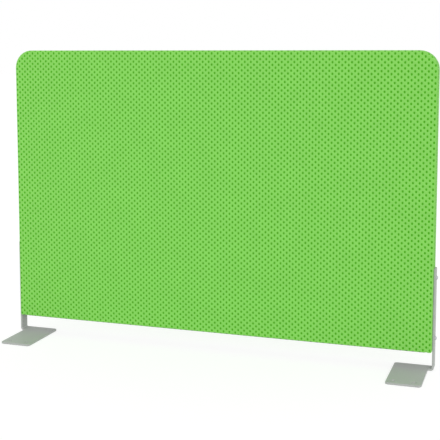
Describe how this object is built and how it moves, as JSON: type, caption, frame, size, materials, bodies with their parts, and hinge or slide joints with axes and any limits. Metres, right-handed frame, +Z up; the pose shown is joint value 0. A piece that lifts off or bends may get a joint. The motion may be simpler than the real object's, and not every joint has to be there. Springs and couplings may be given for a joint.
{
  "type": "acoustic divider screen",
  "caption": "Upholstered acoustic screen with rounded top corners, standing on two bent steel plate feet and clear of the floor along its lower edge.",
  "frame": {"origin": "on the floor, in the middle of the outline seen from above", "axes": "+Z up, +X along the screen's width to the right seen from the front, +Y from the front towards the back; the base plates reach towards -Y"},
  "size_m": [1.2196, 0.178, 0.83],
  "materials": {
    "mesh_fabric": "matte",
    "band_fabric": "matte",
    "foam": "matte",
    "fibre_slab": "matte",
    "timber": "matte",
    "plywood": "matte",
    "beech": "matte",
    "strip_plastic": "matte",
    "zinc_steel": "satin",
    "grey_paint": "satin",
    "pad_rubber": "matte",
    "insert_brass": "satin"
  },
  "bodies": {
    "root": {"front_cover": "mesh_fabric", "back_cover": "mesh_fabric", "edge_band": "band_fabric", "front_foam": "foam", "back_foam": "foam", "left_core": "fibre_slab", "right_core": "fibre_slab", "bottom_rail": "timber", "top_rail": "timber", "left_stile": "timber", "right_stile": "timber", "left_corner_block": "plywood", "right_corner_block": "plywood", "centre_post": "timber", "frame_dowels": "beech", "closing_strip": "strip_plastic", "strip_screws": "zinc_steel", "left_foot": "grey_paint", "right_foot": "grey_paint", "left_pad": "pad_rubber", "right_pad": "pad_rubber", "left_inserts": "insert_brass", "right_inserts": "insert_brass", "left_screws": "zinc_steel", "right_screws": "zinc_steel", "left_washers": "zinc_steel", "right_washers": "zinc_steel"}
  },
  "joints": []
}
